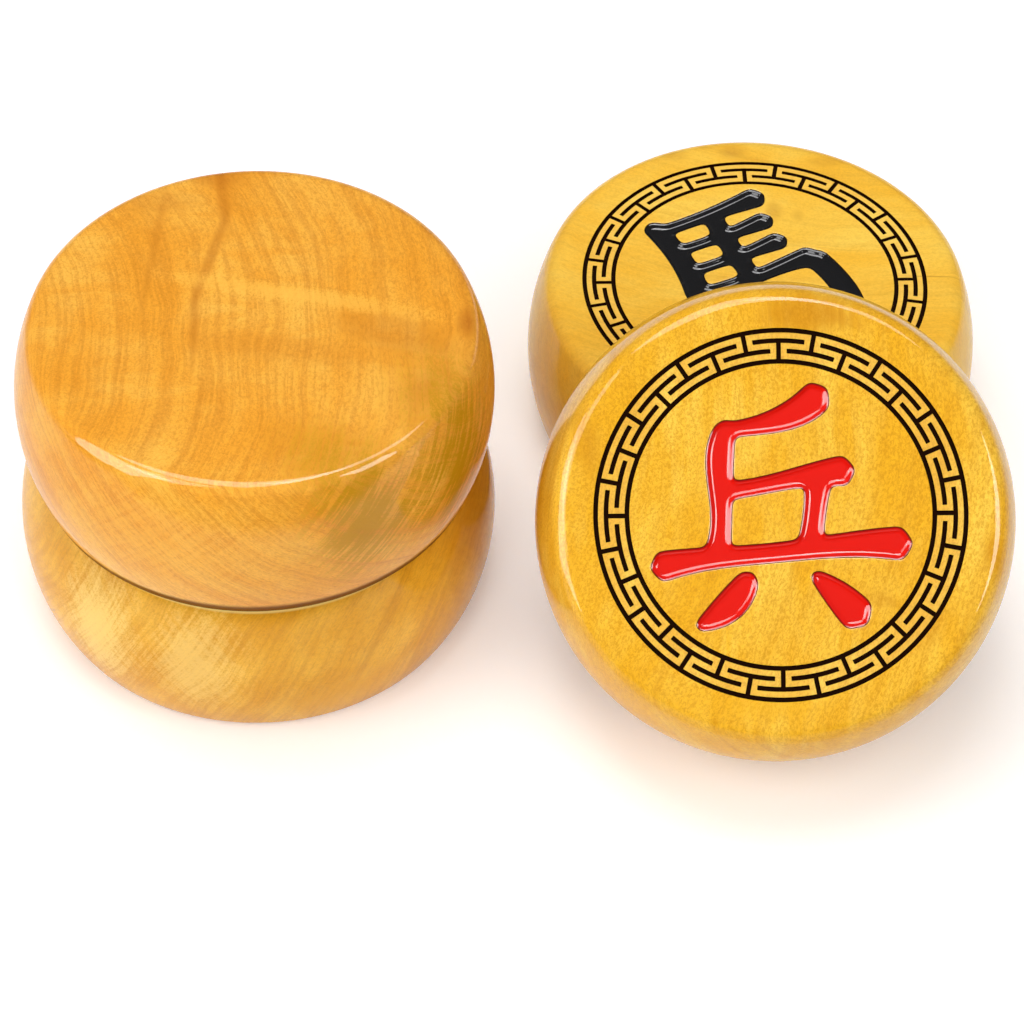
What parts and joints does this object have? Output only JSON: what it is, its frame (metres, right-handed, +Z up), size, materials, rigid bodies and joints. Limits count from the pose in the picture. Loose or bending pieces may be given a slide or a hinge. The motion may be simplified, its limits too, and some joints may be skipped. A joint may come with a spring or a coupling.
{
  "type": "xiangqi piece set",
  "caption": "Drum-shaped lacquered wooden xiangqi pieces with a burnt meander ring and an enamelled rank mark: a stack, a piece lying flat and a piece leaning on it.",
  "frame": {"origin": "centre of the flat underside of the stack's lower piece, on the surface that the set stands on", "axes": "+Z up; +X to the right, from the stack towards the lying piece; +Y to the back, so the leaning piece shows its face towards -Y"},
  "size_m": [0.1264, 0.1035, 0.052],
  "materials": {
    "lacquered_wood": "golden close-grained wood under clear high-gloss lacquer, with a ring of burnt lines",
    "red_enamel": "thick glossy enamel, poured into the carved mark",
    "black_enamel": "thick glossy enamel, poured into the carved mark"
  },
  "bodies": {
    "bottom_piece": {"bottom_piece_mark": "red_enamel", "bottom_piece_mark_left_foot": "red_enamel", "bottom_piece_mark_right_foot": "red_enamel", "bottom_piece_wood": "lacquered_wood"},
    "top_piece": {"top_piece_mark": "black_enamel", "top_piece_mark_first_dot": "black_enamel", "top_piece_mark_fourth_dot": "black_enamel", "top_piece_mark_second_dot": "black_enamel", "top_piece_mark_third_dot": "black_enamel", "top_piece_wood": "lacquered_wood"},
    "back_piece": {"back_piece_mark": "black_enamel", "back_piece_mark_first_dot": "black_enamel", "back_piece_mark_fourth_dot": "black_enamel", "back_piece_mark_second_dot": "black_enamel", "back_piece_mark_third_dot": "black_enamel", "back_piece_wood": "lacquered_wood"},
    "leaning_piece": {"leaning_piece_mark": "red_enamel", "leaning_piece_mark_left_foot": "red_enamel", "leaning_piece_mark_right_foot": "red_enamel", "leaning_piece_wood": "lacquered_wood"}
  },
  "joints": [
    {"name": "top_piece_lift", "type": "slide", "parent": "bottom_piece", "child": "top_piece", "axis": [0, 0, 1], "range_m": [0, 0.06]},
    {"name": "back_piece_slide", "type": "slide", "parent": "bottom_piece", "child": "back_piece", "axis": [0, 1, 0], "range_m": [0, 0.05]},
    {"name": "leaning_piece_lift", "type": "slide", "parent": "bottom_piece", "child": "leaning_piece", "axis": [0, -0.6074, 0.7944], "range_m": [0, 0.04]}
  ]
}
